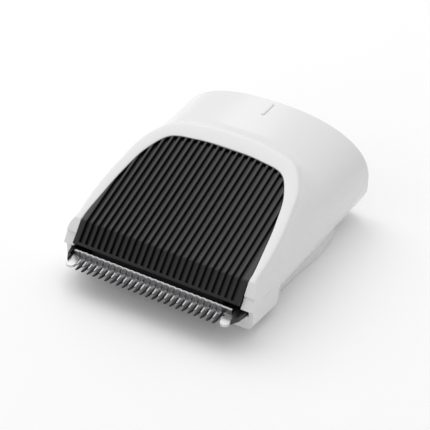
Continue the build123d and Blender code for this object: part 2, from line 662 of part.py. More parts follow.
# ---- drive --------------------------------------------------------------------------------------
with BuildPart() as cutter_carrier:
    with BuildSketch(level(CUTTER_LAND_Z)):
        with Locations((0, CARRIER_Y)):
            RectangleRounded(2 * CARRIER_HALF, CARRIER_LENGTH, 0.8)
    extrude(amount=CARRIER_THICK)
    # yoke round the drive pin, open to the rear
    with BuildSketch(level(CUTTER_LAND_Z)):
        with Locations((0, (YOKE_FRONT + YOKE_REAR) / 2)):
            RectangleRounded(YOKE_WIDTH, YOKE_REAR - YOKE_FRONT, 0.6)
    extrude(amount=YOKE_TALL)
    with BuildSketch(level(CUTTER_LAND_Z)):
        with Locations((0, PIVOT_Y - ARM)):
            SlotOverall(2 * (PIN_R + RUN + YOKE_PLAY), 2 * (PIN_R + RUN), rotation=90)
        with Locations((0, YOKE_REAR)):
            Rectangle(2 * (PIN_R + RUN), 2 * (YOKE_REAR - PIVOT_Y + ARM))
    extrude(amount=YOKE_TALL, mode=Mode.SUBTRACT)
    # the guide plate passes under the yoke
    with BuildSketch(level(CUTTER_LAND_Z)):
        with Locations((0, (CUTTER_REAR + YOKE_REAR) / 2)):
            Rectangle(YOKE_WIDTH + 1, YOKE_REAR - CUTTER_REAR)
    extrude(amount=YOKE_LIFT, mode=Mode.SUBTRACT)
    with Locations(*pair(RIVET_X, RIVET_Y, CUTTER_LAND_Z + CARRIER_THICK)):
        Hole(RIVET_R + SEAT)
finish(cutter_carrier, "cutter_carrier")

with BuildPart() as carrier_rivets:
    with Locations(*pair(RIVET_X, RIVET_Y, 0.1)):
        Cylinder(
            RIVET_R, CUTTER_LAND_Z + CARRIER_THICK - 0.1,
            align=(Align.CENTER, Align.CENTER, Align.MIN),
        )
    with Locations(*pair(RIVET_X, RIVET_Y, CUTTER_LAND_Z + CARRIER_THICK)):
        Cylinder(RIVET_R + 0.4, 0.3, align=(Align.CENTER, Align.CENTER, Align.MIN))
finish(carrier_rivets, "carrier_rivets")

with BuildPart() as drive_lever:
    # thin front end over the yoke, with the drive pin
    with BuildSketch(level(NOSE_Z)):
        with BuildLine():
            Polyline(*NOSE_OUTLINE)
            mirror(about=Plane.YZ)
        make_face()
    extrude(amount=NOSE_THICK)
    # arm from the front end to the fork, wider at the hub
    with BuildSketch(level(LEVER_Z)):
        with BuildLine():
            Polyline(*ARM_OUTLINE)
            mirror(about=Plane.YZ)
        make_face()
        with Locations((0, PIVOT_Y)):
            Circle(HUB_R)
    extrude(amount=LEVER_THICK)
    with Locations(at(0, PIVOT_Y, HUB_Z)):
        Cylinder(HUB_R, HUB_TOP - HUB_Z, align=(Align.CENTER, Align.CENTER, Align.MIN))
    with Locations(at(0, PIVOT_Y - ARM, PIN_Z)):
        Cylinder(PIN_R, NOSE_Z - PIN_Z, align=(Align.CENTER, Align.CENTER, Align.MIN))
    # fork that the handle's drive pin enters
    with BuildSketch(level(FORK_Z)):
        with Locations((0, (FORK_FRONT + FORK_END) / 2)):
            RectangleRounded(FORK_SLOT + 2 * FORK_WALL, FORK_END - FORK_FRONT, 0.7)
    extrude(amount=FORK_TALL)
    with BuildSketch(level(FORK_Z)):
        with Locations((0, (FORK_FRONT + FORK_WEB + FORK_END + 1) / 2)):
            Rectangle(FORK_SLOT, FORK_END + 1 - FORK_FRONT - FORK_WEB)
    extrude(amount=FORK_TALL, mode=Mode.SUBTRACT)
    with Locations(at(0, PIVOT_Y, HUB_TOP)):
        Hole(BUSH_R)
finish(drive_lever, "drive_lever")

with BuildPart() as lever_bush:
    with BuildSketch(level(HUB_Z)):
        with Locations((0, PIVOT_Y)):
            Circle(BUSH_R)
            Circle(PIVOT_R + RUN, mode=Mode.SUBTRACT)
    extrude(amount=HUB_TOP - HUB_Z)
finish(lever_bush, "lever_bush")

with BuildPart() as pivot_pin:
    with BuildSketch(level(PLATE_Z)):
        with Locations((0, PIVOT_Y)):
            Circle(PIVOT_R)
    extrude(amount=PIN_TOP - PLATE_Z)
    chamfer(pivot_pin.edges().group_by(Axis.Z)[-1], 0.3)
    # groove for the retaining clip
    with BuildSketch(level(HUB_TOP + CLIP_LIFT)):
        with Locations((0, PIVOT_Y)):
            Circle(PIVOT_R)
            Circle(PIVOT_R - CLIP_GROOVE, mode=Mode.SUBTRACT)
    extrude(amount=CLIP_THICK + 0.05, mode=Mode.SUBTRACT)
finish(pivot_pin, "pivot_pin")

with BuildPart() as retaining_clip:
    with BuildSketch(level(HUB_TOP + CLIP_LIFT + 0.02)):
        with Locations((0, PIVOT_Y)):
            Circle(CLIP_R)
            Circle(PIVOT_R - CLIP_GROOVE + SEAT, mode=Mode.SUBTRACT)
        with Locations((0, PIVOT_Y + 2)):
            Rectangle(CLIP_MOUTH, 4, mode=Mode.SUBTRACT)
    extrude(amount=CLIP_THICK)
finish(retaining_clip, "retaining_clip")

# ---- inner frame --------------------------------------------------------------------------------
with BuildPart() as inner_frame:
    with BuildSketch(level(PLATE_Z)):
        with Locations((0, (COMB_REAR + 0.3 + BULKHEAD_Y) / 2)):
            Rectangle(2 * PLATE_HALF, BULKHEAD_Y - COMB_REAR - 0.3)
    extrude(amount=PLATE_THICK)
    with Locations(at(0, PIVOT_Y, PLATE_Z)):
        Cylinder(HUB_R, HUB_Z - 0.1 - PLATE_Z, align=(Align.CENTER, Align.CENTER, Align.MIN))
    # bulkhead across the case, with a window for the handle's drive pin
    extrude(case_section(BULKHEAD_Y, BULKHEAD_INSET), amount=-BULKHEAD_THICK)
    with BuildSketch(across(BULKHEAD_Y)):
        with Locations((0, WINDOW_Z)):
            RectangleRounded(2 * WINDOW, WINDOW_TALL, 1.5)
    extrude(amount=-BULKHEAD_THICK, mode=Mode.SUBTRACT)
    # rests for the spring wire
    for side in (1, -1):
        with BuildSketch(level(PLATE_Z + PLATE_THICK)):
            with Locations((side * SPRING_X, SPRING_REAR - 0.4)):
                Rectangle(REST_WIDTH, REST_LENGTH)
        extrude(amount=WIRE_Z - WIRE_R - PLATE_Z - PLATE_THICK)
    with Locations(at(0, PIVOT_Y, HUB_Z)):
        Hole(PIVOT_R + SEAT)
    with Locations(*pair(SCREW_X, SCREW_Y, PLATE_Z + PLATE_THICK)):
        Hole(SCREW_R + SEAT)
    with Locations(*pair(SCREW_X, REAR_SCREW_Y, PLATE_Z + PLATE_THICK)):
        Hole(SCREW_R + SEAT)
finish(inner_frame, "inner_frame")

# ---- spring -------------------------------------------------------------------------------------
with BuildPart() as pressure_spring:
    with BuildLine(level(WIRE_Z)) as wire:
        FilletPolyline(
            (-SPRING_X, SPRING_FRONT), (-SPRING_X, SPRING_REAR), (SPRING_X, SPRING_REAR),
            (SPRING_X, SPRING_FRONT), radius=SPRING_BEND,
        )
    with BuildSketch(Plane(origin=wire.line @ 0, z_dir=wire.line % 0)):
        Circle(WIRE_R)
    sweep(path=wire.line)
finish(pressure_spring, "pressure_spring")

with BuildPart() as spring_keepers:
    for side in (1, -1):
        with BuildSketch(level(PLATE_Z + PLATE_THICK)):
            with Locations((side * (SCREW_X + 0.2), SCREW_Y)):
                Rectangle(KEEPER_FOOT, KEEPER_FOOT)
        extrude(amount=KEEPER_Z - PLATE_Z - PLATE_THICK)
        with BuildSketch(level(KEEPER_Z)):
            with Locations((side * (SCREW_X + 0.2 - KEEPER_ARM / 2), SCREW_Y)):
                Rectangle(KEEPER_FOOT + KEEPER_ARM, KEEPER_FOOT)
        extrude(amount=KEEPER_THICK)
    with Locations(*pair(SCREW_X, SCREW_Y, KEEPER_Z + KEEPER_THICK)):
        Hole(SCREW_R + SEAT)
finish(spring_keepers, "spring_keepers")

# ---- latches ------------------------------------------------------------------------------------
for side, label in ((1, "latch_right"), (-1, "latch_left")):
    with BuildPart() as latch:
        with BuildSketch(level(LATCH_Z)):
            with BuildLine():
                Polyline(*[(side * (LATCH_X + out), y) for out, y in LATCH_SIDE], close=True)
            make_face()
            with Locations((side * LATCH_X, LATCH_ROOT)):
                Circle(LATCH_ROLL)
        extrude(amount=LATCH_TALL)
    finish(latch, label)
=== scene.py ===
"""Looks of the clipper head: smooth moulded case, ribbed cover, ground blades, studio light.

The pieces are drawn in millimetres from the blade datum (y back from the tips of the comb teeth, z up
from the sliding face of the blades), which is read from the frame, and are stored in metres.
"""

import json
from math import cos, radians, sin, tan

import bmesh
import bpy
import numpy as np
from mathutils import Matrix, Vector
from mathutils.geometry import tessellate_polygon

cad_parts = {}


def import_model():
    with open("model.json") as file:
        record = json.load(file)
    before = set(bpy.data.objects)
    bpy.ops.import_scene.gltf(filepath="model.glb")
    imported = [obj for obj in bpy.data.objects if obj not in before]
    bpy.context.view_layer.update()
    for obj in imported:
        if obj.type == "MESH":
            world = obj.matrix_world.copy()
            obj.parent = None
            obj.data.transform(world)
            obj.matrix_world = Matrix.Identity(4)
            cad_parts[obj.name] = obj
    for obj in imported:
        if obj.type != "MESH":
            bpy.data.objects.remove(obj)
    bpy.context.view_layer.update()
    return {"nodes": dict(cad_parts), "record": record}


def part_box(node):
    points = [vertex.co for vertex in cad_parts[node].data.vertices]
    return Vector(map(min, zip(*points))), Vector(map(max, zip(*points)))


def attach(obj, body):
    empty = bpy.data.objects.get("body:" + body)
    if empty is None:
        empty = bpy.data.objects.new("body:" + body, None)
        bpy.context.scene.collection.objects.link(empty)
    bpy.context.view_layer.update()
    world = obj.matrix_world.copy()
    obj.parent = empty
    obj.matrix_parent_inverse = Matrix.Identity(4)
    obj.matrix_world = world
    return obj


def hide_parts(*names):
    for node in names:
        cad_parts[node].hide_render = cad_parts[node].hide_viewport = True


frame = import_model()
scene = bpy.context.scene
NODES = frame["nodes"]
HEAD = "head"

# ---- datum, from the frame ----------------------------------------------------------------------
comb_lo, comb_hi = (np.array(corner) * 1000 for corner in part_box("comb_blade"))
_, case_hi = (np.array(corner) * 1000 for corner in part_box("lower_shell"))
DATUM = np.array([0.0, comb_lo[1], comb_hi[2]])
REAR = case_hi[1] - DATUM[1]        # rear rim
REAR_HALF = case_hi[0]
FRONT_HALF = REAR_HALF - 1.0
BELLY_FLOOR = -DATUM[2]

# ---- case ---------------------------------------------------------------------------------------
CASE_FRONT = 4.0
SHOULDER_Z = 4.0
ARCH_POWER = 2.3
RISE_FRONT, RISE_REAR = 8.1, 12.8   # height of the arch over the shoulder
WALL = 1.4
PARTING_Z = 1.9
COLLAR_TOP = SHOULDER_Z + RISE_REAR
AXIS_Z = PARTING_Z - 0.02           # axis from which the case surface is looked up
SEAM = 0.07                         # visible joint line between the shells
TRAY_Z, TRAY_CORNER = -4.5, 6.5
SHELL_FRONT = 6.0
BLOCK_Z, BLOCK_CORNER, BLOCK_WALL = -4.2, 2.0, 1.1      # squarer block under the blades
BLOCK_DROP = 1.0
BLOCK_END, TRAY_START = 16.3, 17.9
MARK_FRONT, MARK_BACK, MARK_WIDTH, MARK_PROUD = 51.0, 56.2, 1.0, 0.25
SILL_Z, SILL_END_X, SILL_END_Z = -1.95, 18.6, -0.7      # low wall that closes the block's front
BELLY_FRONT, BELLY_REAR, BELLY_EDGE, BELLY_TALL, BELLY_FLARE = 20.0, 53.5, 0.7, 2.7, 1.2
# outline of the belly cover, right half (x, y), from its front corner back
BELLY_CORNER = [(20.4, BELLY_FRONT), (21.6, 26.0)]
BELLY_SIDE = [(22.8, 40.5), (21.6, 48.3)]

# ---- sloping face -------------------------------------------------------------------------------
FOLD_Y, FOLD_Z = 8.3, 6.75
SLOPE = radians(19.5)
BEZEL_LENGTH = 33.4
BEZEL_DRAFT = tan(radians(7.6))
EDGE_ROUND = 0.9
EDGE_INSET = 0.75                   # from the bezel's outline to where its flat face ends
TAB_INNER = 21.15
TAB_END = 6.9                       # front end of the parting face
# front edge of the tabs in side view (y, z), from the fold down over both steps, and rows used up to each
TAB_EDGE = [(FOLD_Y, FOLD_Z), (6.35, 4.14), (6.6, 3.9), (4.9, 1.6), (5.6, 1.2), (TAB_END, PARTING_Z)]
TAB_ROWS = (0, 16, 21, 37, 42, 49)
TAB_FADE = 26                       # lines over which the tabs' front edge fades out
COVER_LENGTH = 29.2
COVER_GAP = 0.1
COVER_THICK = 2.4
RIB_PITCH, RIBS, RIB_DEPTH = 1.6, 24, 0.85
# half a rib in section: distance from its middle, depth under the crest
RIB_SECTION = [(0, 0), (0.15, 0), (0.2, 0.015), (0.27, 0.055), (0.315, 0.11), (0.335, 0.2),
               (0.35, 0.5), (0.365, 0.78), (0.4, 0.84), (0.55, RIB_DEPTH), (0.8, RIB_DEPTH)]
COVER_SINK = 0.1                    # the crests lie this far under the bezel's face
FOLD = (FOLD_Y + COVER_SINK * sin(SLOPE), FOLD_Z - COVER_SINK * cos(SLOPE))
FOLD_BEND = 0.35                    # length over which the cover bends on both sides of the fold
FOLD_STEPS = np.array([1.0, 0.97, 0.93, 0.885, 0.87, 0.855, 0.84, 0.8, 0.65, 0.5, 0.35, 0.2, 0.12])
LIP = (4.5, 2.73)                   # lower front edge of the cover (y, z)
LIP_FLOOR = 2.5
# outlines on the sloping face, right half (x, distance up the slope), from the fold up
BEZEL = [(22.75, 0), (22.9, 6), (21.8, 17.6), (19.7, 26), (16.0, 30.9), (8.5, 33.0)]
COVER = [(21.0, 0), (20.3, 7.8), (19.3, 15), (17.2, 23), (14.4, 27.3), (8.0, 28.9)]

# ---- blades -------------------------------------------------------------------------------------
TOOTH_PITCH, TEETH = 1.5, 24
COMB_THICK, COMB_TIP, COMB_BEVEL, COMB_ROOT, COMB_REAR = 0.6, 0.3, 2.2, 4.2, 13.0
GUARD_INNER, GUARD_OUTER, GUARD_TIP = 18.3, 20.5, 1.45
CUTTER_TIP, CUTTER_HALF, CUTTER_REAR, CUTTER_LAND_Z = 1.1, 19.87, 8.7, 1.0
CUTTER_SHIFT, CUTTER_RIDGE_Z, CUTTER_END = -0.56, 1.9, 3.45
# comb tooth beside its gap: half the gap, y, how far the flat top stays back from the side, its drop
COMB_TOOTH = [(0.3, COMB_ROOT, 0.04, 0.04), (0.31, 3.9, 0.04, 0.04), (0.34, 1.2, 0.26, 0.4),
              (0.42, 0.55, 0.22, 0.35), (0.56, 0.12, 0.12, 0.2), (0.62, 0.0, 0.09, 0.15)]
COMB_RIM = (0.05, 0.05)             # the same two values along the plain edges
# half a cutter tooth in plan (x from its middle, y), and half the width of its flat top along y
CUTTER_TOOTH = [(0, CUTTER_TIP), (0.08, CUTTER_TIP), (0.16, 1.18), (0.24, 1.4), (0.31, 1.7), (0.37, 2.0),
                (0.44, 2.3), (0.52, 2.6), (0.6, 2.85), (0.67, 3.05), (0.72, 3.2), (0.75, 3.27)]
CUTTER_FLAT = [(1.1, 0.04), (1.4, 0.1), (1.9, 0.14), (2.4, 0.13), (2.8, 0.1), (3.1, 0.16), (3.3, 0.35),
               (3.5, 0.75)]
# height of the cutter along y: hollow-ground front, ridge and rear land
CUTTER_SECTION = [(1.1, 0.2), (1.2, 0.27), (2.6, 0.42), (3.0, 0.66), (3.2, 0.95), (3.35, 1.35), (3.44, 1.68),
                  (3.5, 1.84), (3.6, CUTTER_RIDGE_Z), (4.02, CUTTER_RIDGE_Z), (4.1, 1.86), (4.18, 1.7),
                  (4.4, CUTTER_LAND_Z)]
CUTTER_ROWS = [3.56, 3.64, 3.72, 3.8, 3.95, 4.02, 4.1, 4.18, 4.4, 8.6]      # y of the rows behind the front
CUTTER_FRONT = 3.5                  # y at which the front ends and the ridge starts
CUTTER_WAVE = 0.2                   # how far the teeth push the ridge's front edge back and forth


# =================================================================================================
# helpers
# =================================================================================================
def new_mesh(name, verts, faces):
    """Mesh object from blade datum coordinates in millimetres."""
    mesh = bpy.data.meshes.new(name)
    mesh.from_pydata(((np.asarray(verts) + DATUM) / 1000).tolist(), [], faces)
    mesh.validate()
    work = bmesh.new()
    work.from_mesh(mesh)
    bmesh.ops.recalc_face_normals(work, faces=work.faces)
    work.to_mesh(mesh)
    work.free()
    obj = bpy.data.objects.new(name, mesh)
    scene.collection.objects.link(obj)
    return obj


def smooth(obj, angle=35):
    """Smooth shading that keeps edges sharper than the angle."""
    obj.data.shade_smooth()
    obj.data.set_sharp_from_angle(angle=radians(angle))


def bevel(obj, width, angle=35, weld=False):
    """Rounded edges, width in millimetres; weld joins the corners that a CAD mesh repeats."""
    if weld:
        joined = obj.modifiers.new("weld", "WELD")
        joined.merge_threshold = 2e-6
    mod = obj.modifiers.new("bevel", "BEVEL")
    mod.width = width / 1000
    mod.segments = 2
    mod.limit_method = "ANGLE"
    mod.angle_limit = radians(angle)
    mod.harden_normals = False
    mod.use_clamp_overlap = True


def grid_faces(rows, cols, start=0, wrap_rows=False, flip=False):
    """Quads of a grid stored row by row."""
    faces = []
    last = rows if wrap_rows else rows - 1
    for i in range(last):
        for j in range(cols - 1):
            a = start + i * cols + j
            b = start + ((i + 1) % rows) * cols + j
            quad = (a, a + 1, b + 1, b)
            faces.append(quad[::-1] if flip else quad)
    return faces


def hermite(points, start_dir, end_dir, per_span=24):
    """Dense smooth curve through 2-D points with given end directions."""
    pts = np.array(points, float)
    chord = np.linalg.norm(np.diff(pts, axis=0), axis=1)
    slopes = np.zeros_like(pts)
    slopes[0], slopes[-1] = start_dir, end_dir
    for i in range(1, len(pts) - 1):
        before = (pts[i] - pts[i - 1]) / chord[i - 1]
        after = (pts[i + 1] - pts[i]) / chord[i]
        slopes[i] = (before * chord[i] + after * chord[i - 1]) / (chord[i] + chord[i - 1])
    out = []
    for i in range(len(pts) - 1):
        h = chord[i]
        for u in np.linspace(0, 1, per_span, endpoint=False):
            out.append(
                (2 * u**3 - 3 * u**2 + 1) * pts[i] + (u**3 - 2 * u**2 + u) * h * slopes[i]
                + (-2 * u**3 + 3 * u**2) * pts[i + 1] + (u**3 - u**2) * h * slopes[i + 1]
            )
    out.append(pts[-1])
    return np.array(out)


def outline(waypoints, length):
    """Closed outline on the sloping face, right half then left half, as (x, s)."""
    right = hermite([*waypoints, (0, length)], (0, 1), (-1, 0))
    left = right[::-1][1:] * (-1, 1)
    return np.vstack([right, left])


def resample(curve, count):
    """Points at equal steps along a polyline."""
    steps = np.linalg.norm(np.diff(curve, axis=0), axis=1)
    at = np.concatenate([[0], np.cumsum(steps)])
    want = np.linspace(0, at[-1], count)
    return np.stack([np.interp(want, at, curve[:, k]) for k in range(curve.shape[1])], axis=1)


def face_to_blade(x, s, n):
    """Point on the sloping face (x, s up the slope, n off the face) in blade coordinates."""
    y = FOLD_Y + s * cos(SLOPE) - n * sin(SLOPE)
    z = FOLD_Z + s * sin(SLOPE) + n * cos(SLOPE)
    return np.stack([x + 0 * y, y, z], axis=-1)


def blade_to_face(p):
    """The same, back: x, s up the slope, n off the face."""
    dy, dz = p[..., 1] - FOLD_Y, p[..., 2] - FOLD_Z
    return p[..., 0], dy * cos(SLOPE) + dz * sin(SLOPE), -dy * sin(SLOPE) + dz * cos(SLOPE)


def ramp(v, lo, hi):
    """Smooth step from 0 at lo to 1 at hi."""
    u = np.clip((v - lo) / (hi - lo), 0, 1)
    return u * u * (3 - 2 * u)


def soft_min(a, b, k):
    """Minimum with a rounded transition of width k."""
    h = np.maximum(k - np.abs(a - b), 0) / k
    return np.minimum(a, b) - h * h * k / 4


def soft_max(a, b, k):
    """Maximum with a rounded transition of width k."""
    return -soft_min(-a, -b, k)


# =================================================================================================
# the case as an implicit surface: negative inside, about millimetres
# =================================================================================================
ACROSS = 281                        # lines of the upper shell, from the right tab round to the left
BEZEL_LINE = resample(outline(BEZEL, BEZEL_LENGTH), ACROSS)
BEZEL_PATH = np.vstack([[(BEZEL[0][0], -12.0)], BEZEL_LINE, [(-BEZEL[0][0], -12.0)]])


def outline_distance(x, s):
    """Signed distance to the bezel outline, whose sides run on past the fold."""
    ax, ay = BEZEL_PATH[:-1].T
    ex, ey = np.diff(BEZEL_PATH, axis=0).T
    length2 = ex * ex + ey * ey
    out = np.empty(x.size)
    for start in range(0, x.size, ACROSS):
        part = slice(start, start + ACROSS)
        px, py = x.ravel()[part, None] - ax, s.ravel()[part, None] - ay
        along = px * ex + py * ey
        u = np.clip(along / length2, 0, 1)
        gap2 = px * px + py * py - 2 * u * along + u * u * length2
        near = gap2.argmin(axis=1)
        row = np.arange(len(near))
        side = np.sign(ey[near] * (px - u * ex)[row, near] - ex[near] * (py - u * ey)[row, near])
        out[part] = np.sqrt(np.maximum(gap2[row, near], 0)) * side
    return out.reshape(x.shape)


def half_width(y):
    """Half the width of the case at y, below the shoulder."""
    return FRONT_HALF + (REAR_HALF - FRONT_HALF) * (y - CASE_FRONT) / (REAR - CASE_FRONT)


def arch_rise(y):
    """Height of the arch over the shoulder at y."""
    return RISE_FRONT + (RISE_REAR - RISE_FRONT) * ramp(y, FOLD_Y, 41.0)


def arch_distance(p):
    """First-order distance to the arch of the case; straight sides below the shoulder."""
    w, h = half_width(p[..., 1]), arch_rise(p[..., 1])
    u = np.abs(p[..., 0]) / w
    v = np.maximum(p[..., 2] - SHOULDER_Z, 0) / h
    m = ARCH_POWER
    f = (u**m + v**m + 1e-12) ** (1 / m)
    du = (u / f) ** (m - 1) / w
    dv = (v / f) ** (m - 1) / h
    return (f - 1) / np.sqrt(du * du + dv * dv + 1e-9)


def case_distance(p):
    """Distance to the case: the arch, cut by the drafted side of the bezel and by the sloping face."""
    x, s, n = blade_to_face(p)
    side = (outline_distance(x, s) + np.minimum(n, 0) * BEZEL_DRAFT) / (1 + BEZEL_DRAFT**2) ** 0.5
    blend = 0.15 + 3.2 * ramp(p[..., 1], 12, 38)
    body = soft_min(side, arch_distance(p), blend)
    return soft_max(body, n, EDGE_ROUND)


def on_case(theta, y, level=0.0):
    """Point of the case surface at a polar angle round the case axis and at y."""
    c, sn = np.cos(theta), np.sin(theta)
    # halving between a radius that is surely inside and one that is surely outside
    lo, hi = np.full(theta.shape, 3.0), np.full(theta.shape, 34.0)
    for _ in range(18):
        mid = (lo + hi) / 2
        inside = case_distance(np.stack([mid * c, y, AXIS_Z + mid * sn], axis=-1)) < level
        lo, hi = np.where(inside, mid, lo), np.where(inside, hi, mid)
    return np.stack([lo * c, y, AXIS_Z + lo * sn], axis=-1)


def gradient(p, step=0.02):
    """Unit normal of the case surface through each point."""
    here = case_distance(p)
    out = np.stack([case_distance(p + step * axis) - here for axis in np.eye(3)], axis=-1)
    return out / np.linalg.norm(out, axis=-1, keepdims=True)


def polar(p):
    """Angle round the case axis, and y."""
    return np.arctan2(p[..., 2] - AXIS_Z, p[..., 0]), p[..., 1]


# =================================================================================================
# upper shell
# =================================================================================================
def upper_shell():
    """Lines laid round the bezel, each from the opening over the edge and down to the parting face."""
    across_face = (0.0, 0.08, 0.3, 0.6, 0.85)           # shares of the flat face
    to_edge = (-0.6, -0.45, -0.3, -0.18, -0.06)         # off the outline
    down_side = (0.1, 0.25, 0.4, 0.55, 0.75)            # depths under the face
    step = np.gradient(BEZEL_LINE, axis=0)
    out = np.stack([step[:, 1], -step[:, 0]], axis=1)
    out /= np.linalg.norm(out, axis=1, keepdims=True)
    inset = BEZEL_LINE - out * EDGE_INSET
    opening = resample(outline([(x + COVER_GAP, s) for x, s in COVER], COVER_LENGTH + COVER_GAP), ACROSS)

    flats = [(opening + (inset - opening) * share, 0) for share in across_face]
    flats += [(BEZEL_LINE + out * shift, 0) for shift in to_edge]
    flats += [(BEZEL_LINE + out * depth * BEZEL_DRAFT, depth) for depth in down_side]
    rows = [face_to_blade(flat[:, 0], flat[:, 1], np.full(ACROSS, -depth)) for flat, depth in flats]
    angle, y = polar(np.array(rows))

    # the lines end on the parting face at the sides and on the rear rim between them
    side_share = 0.335
    t = np.linspace(0, 1, ACROSS)
    round_rear = np.pi * (t - side_share) / (1 - 2 * side_share)
    end_angle = np.where(t < side_share, 0, np.where(t > 1 - side_share, np.pi, round_rear))
    along_side = np.minimum(np.minimum(t, 1 - t) / side_share, 1)
    end_y = TAB_END + (REAR - TAB_END) * along_side**1.15
    f = np.linspace(0, 1, 45)[1:]
    f = 0.35 * f + 0.65 * f**2                          # rows closer together near the bezel
    angle = np.vstack([angle, angle[-1] + (end_angle - angle[-1]) * f[:, None]])
    y = np.vstack([y, y[-1] + (end_y - y[-1]) * f[:, None]])

    # the first and the last line follow the front edge of the tabs
    first = len(across_face) + len(to_edge)
    count = len(angle) - first
    at = np.arange(count) * TAB_ROWS[-1] / (count - 1)
    tab_y, tab_z = zip(*TAB_EDGE)
    path = np.stack([np.interp(at, TAB_ROWS, tab_y), np.interp(at, TAB_ROWS, tab_z)], axis=1)
    from_end = {0: np.arange(ACROSS), -1: np.arange(ACROSS)[::-1]}
    for end in (0, -1):
        # nearly the side of the case; y and z are set exactly below
        target = np.arctan2(path[:, 1] - AXIS_Z, half_width(path[:, 0]) * 0.985)
        if end:
            target = np.pi - target
        fade = 1 - ramp(from_end[end], 0, TAB_FADE)
        angle[first:] += (target - angle[first:, end])[:, None] * fade
        y[first:] += (path[:, 0] - y[first:, end])[:, None] * fade
    outer = on_case(angle, y)
    for end in (0, -1):
        outer[first:, end, 1:] = path
    on_side = (t <= side_share) | (t >= 1 - side_share)
    outer[-1, :, 2] = np.where(on_side, PARTING_Z, outer[-1, :, 2])

    # rounded inner edge of the bezel
    towards = inset - opening
    towards /= np.linalg.norm(towards, axis=1, keepdims=True)
    for row, (away, drop) in enumerate(((0.0, 0.24), (0.035, 0.11), (0.11, 0.035), (0.22, 0.0))):
        flat = opening + towards * away
        outer[row] = face_to_blade(flat[:, 0], flat[:, 1], np.full(ACROSS, -drop))

    # inner skin, one wall inside
    inner = outer.copy()
    for _ in range(5):
        inner -= gradient(inner) * WALL / 5
    for end, sign in ((0, 1), (-1, -1)):
        target = outer[:, end].copy()
        target[:, 0] = sign * TAB_INNER
        fade = 1 - ramp(from_end[end], 2, 12)
        inner += (target - inner[:, end])[:, None, :] * fade[None, :, None]
    inner[-1, :, 2] = np.where(on_side, outer[-1, :, 2], inner[-1, :, 2])
    inner[-1, :, 1] = np.where(on_side, inner[-1, :, 1], outer[-1, :, 1])

    return skin("case_top", outer, inner)


# ---- alignment mark -----------------------------------------------------------------------------
def alignment_mark():
    """Small raised bar on top of the collar, round at both ends."""
    turns = np.linspace(0, np.pi, 13)
    half = MARK_WIDTH / 2
    ends = [(half * np.cos(a), MARK_BACK - half + half * np.sin(a)) for a in turns]
    ends += [(-half * np.cos(a), MARK_FRONT + half - half * np.sin(a)) for a in turns]
    loop = np.array(ends)
    middle = np.array([0, (MARK_FRONT + MARK_BACK) / 2])
    reach = np.array([half, (MARK_BACK - MARK_FRONT) / 2])
    rings = []
    for inset, lift in ((0.0, -0.5), (0.0, 0.0), (0.03, 0.13), (0.12, 0.22), (0.25, MARK_PROUD)):
        flat = middle + (loop - middle) * (1 - inset / reach)
        rings.append(np.column_stack([flat, np.full(len(flat), COLLAR_TOP + lift)]))
    n = len(loop)
    faces = [
        (k * n + i, k * n + (i + 1) % n, (k + 1) * n + (i + 1) % n, (k + 1) * n + i)
        for k in range(len(rings) - 1) for i in range(n)
    ]
    faces += [tuple(range(n))[::-1], tuple((len(rings) - 1) * n + i for i in range(n))]
    return new_mesh("alignment_mark", np.vstack(rings), faces)


# ---- lower shell --------------------------------------------------------------------------------
def tray_floor(y):
    """Underside: it falls under the blades, then steps up to the tray."""
    falling = BLOCK_Z - BLOCK_DROP * (y - SHELL_FRONT) / (BLOCK_END - SHELL_FRONT)
    block = np.where(y < BLOCK_END, falling, BLOCK_Z - BLOCK_DROP)
    tray = ramp(y, BLOCK_END, TRAY_START)
    return block * (1 - tray) + TRAY_Z * tray


def tray_corner(y):
    """Radius of the lower side corners at y."""
    return BLOCK_CORNER + (TRAY_CORNER - BLOCK_CORNER) * ramp(y, BLOCK_END - 0.4, TRAY_START)


def tray_profile(y, inset, top):
    """Section of the tray at y: right side, rounded corner, floor, and the same to the left."""
    half = half_width(y) - inset
    floor = tray_floor(y) + inset
    r = tray_corner(y) - inset
    side = [(half, z) for z in np.linspace(top, floor + r, 6)[:-1]]
    arc = [
        (half - r + r * np.cos(a), floor + r - r * np.sin(a)) for a in np.linspace(0, np.pi / 2, 15)
    ]
    flat = [((half - r) * f, floor) for f in np.linspace(1, 0, 9)[1:]]
    right = side + arc + flat
    left = [(-x, z) for x, z in right[-2::-1]]
    return np.array([(x, y, z) for x, z in right + left])


def skin(name, outer, inner):
    """Closed shell from two grids of the same size, stitched round their edges."""
    rows, cols = outer.shape[:2]
    shift = rows * cols
    faces = grid_faces(rows, cols, flip=True) + grid_faces(rows, cols, shift)
    rim = [i * cols for i in range(rows)]
    rim += [(rows - 1) * cols + j for j in range(1, cols)]
    rim += [i * cols + cols - 1 for i in range(rows - 2, -1, -1)]
    rim += list(range(cols - 2, -1, -1))
    for a, b in zip(rim[:-1], rim[1:]):
        faces.append((a, b, b + shift, a + shift))
    return new_mesh(name, np.vstack([outer.reshape(-1, 3), inner.reshape(-1, 3)]), faces)


def lower_shell():
    """Tray and block, from sections that are closer together at the step between them."""
    stations = np.concatenate([
        [SHELL_FRONT, SHELL_FRONT + 0.5], np.linspace(7.5, 15.0, 6), np.linspace(15.6, 18.4, 15),
        [19.2, 21.0, 24.0], np.linspace(28.0, 56.0, 8), [REAR],
    ])
    top = PARTING_Z - SEAM
    outer = np.array([tray_profile(y, 0, top) for y in stations])
    inner = np.array([
        tray_profile(y, BLOCK_WALL + (WALL - BLOCK_WALL) * float(ramp(y, 14.0, 18.0)), top)
        for y in stations
    ])
    return skin("case_bottom", outer[:, ::-1], inner[:, ::-1])


